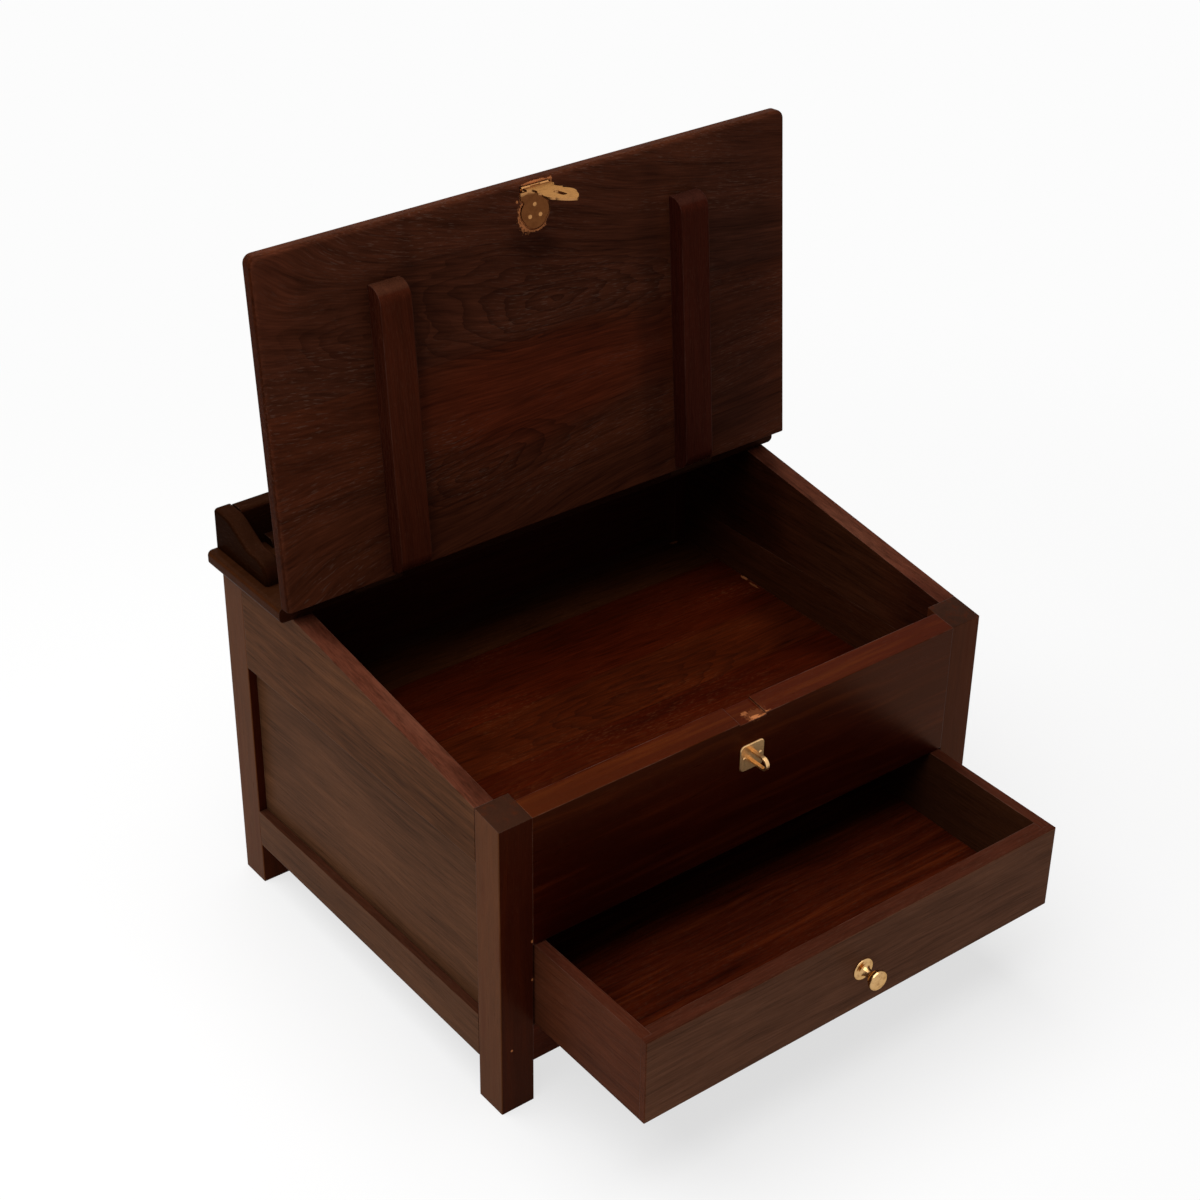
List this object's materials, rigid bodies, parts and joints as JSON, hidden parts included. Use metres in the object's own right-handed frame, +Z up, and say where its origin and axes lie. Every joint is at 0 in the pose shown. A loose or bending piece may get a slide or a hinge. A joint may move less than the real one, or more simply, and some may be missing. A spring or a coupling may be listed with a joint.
{
  "type": "letter writing box",
  "caption": "Stained wooden letter writing box with a sloped hinged lid, open compartment, rear shelf with gallery, brass hasp and staple, and a full-width drawer with a brass knob.",
  "frame": {"origin": "on the ground, under the middle of the box as it stands with its drawer drawn out", "axes": "+X to the user's right along the front, +Y towards the back, +Z up"},
  "size_m": [0.472, 0.5024, 0.5805],
  "materials": {
    "case_wood": "dark stained, satin",
    "lid_wood": "dark stained, satin",
    "drawer_wood": "dark stained, satin",
    "inner_wood": "stained, matt",
    "brass": "polished, lightly worn"
  },
  "bodies": {
    "case": {"post_front_left": "case_wood", "post_front_right": "case_wood", "post_back_left": "case_wood", "post_back_right": "case_wood", "side_top_rail_left": "case_wood", "side_top_rail_right": "case_wood", "side_bottom_rail_left": "case_wood", "side_bottom_rail_right": "case_wood", "side_panel_left": "case_wood", "side_panel_right": "case_wood", "back_top_rail": "case_wood", "back_bottom_rail": "case_wood", "back_panel": "case_wood", "front_board": "case_wood", "front_bottom_rail": "case_wood", "shelf": "case_wood", "gallery_back": "case_wood", "gallery_pen_stop": "case_wood", "gallery_sides": "case_wood", "compartment_floor": "inner_wood", "floor_rear_strip": "inner_wood", "drawer_runner_left": "inner_wood", "drawer_runner_right": "inner_wood", "drawer_guide_left": "inner_wood", "drawer_guide_right": "inner_wood", "floor_bearer_left": "inner_wood", "floor_bearer_right": "inner_wood", "drawer_stops": "inner_wood", "hinge_shelf_leaves": "brass", "hinge_pins": "brass", "staple_plate": "brass", "staple_eye": "brass"},
    "lid": {"lid_board": "lid_wood", "batten_left": "lid_wood", "batten_right": "lid_wood", "hinge_lid_leaves": "brass", "hasp_fixed_leaf": "brass", "hasp_pin": "brass"},
    "hasp": {"hasp_leaf": "brass"},
    "drawer": {"drawer_front": "drawer_wood", "drawer_side_left": "drawer_wood", "drawer_side_right": "drawer_wood", "drawer_back": "drawer_wood", "drawer_bottom": "inner_wood", "knob": "brass", "knob_rose": "brass", "knob_screw": "brass"}
  },
  "joints": [
    {"name": "lid_hinge", "type": "hinge", "parent": "case", "child": "lid", "pos_m": [0, 0.14705, 0.306], "axis": [1, 0, 0], "range_deg": [0, 102.47]},
    {"name": "hasp_hinge", "type": "hinge", "parent": "lid", "child": "hasp", "pos_m": [-0.002, 0.15434, 0.57195], "axis": [-1, 0, 0], "range_deg": [-92.5, 40]},
    {"name": "drawer_slide", "type": "slide", "parent": "case", "child": "drawer", "axis": [0, -1, 0], "range_m": [-0.1245, 0.125]}
  ]
}
